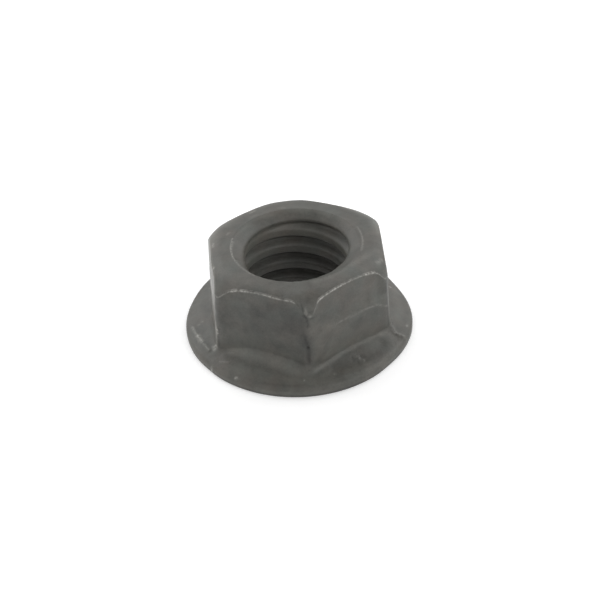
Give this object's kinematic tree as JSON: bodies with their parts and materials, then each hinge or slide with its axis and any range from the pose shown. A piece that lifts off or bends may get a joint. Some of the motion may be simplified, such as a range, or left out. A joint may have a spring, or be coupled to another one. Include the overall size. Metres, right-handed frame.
{
  "type": "wheel nut",
  "caption": "Hexagon wheel nut with a fixed round flange that spreads the clamping load, and a coarse threaded bore with countersunk ends.",
  "frame": {"origin": "centre of the flange's bearing face, on the thread's axis", "axes": "+Z along the thread's axis from the bearing face towards the hexagon's top; one hexagon corner points along -Y"},
  "size_m": [0.0178, 0.0178, 0.0074],
  "materials": {
    "phosphated_steel": "matt dark phosphate coating, worn bright along the edges"
  },
  "bodies": {
    "root": {"wheel_nut": "phosphated_steel"}
  },
  "joints": []
}
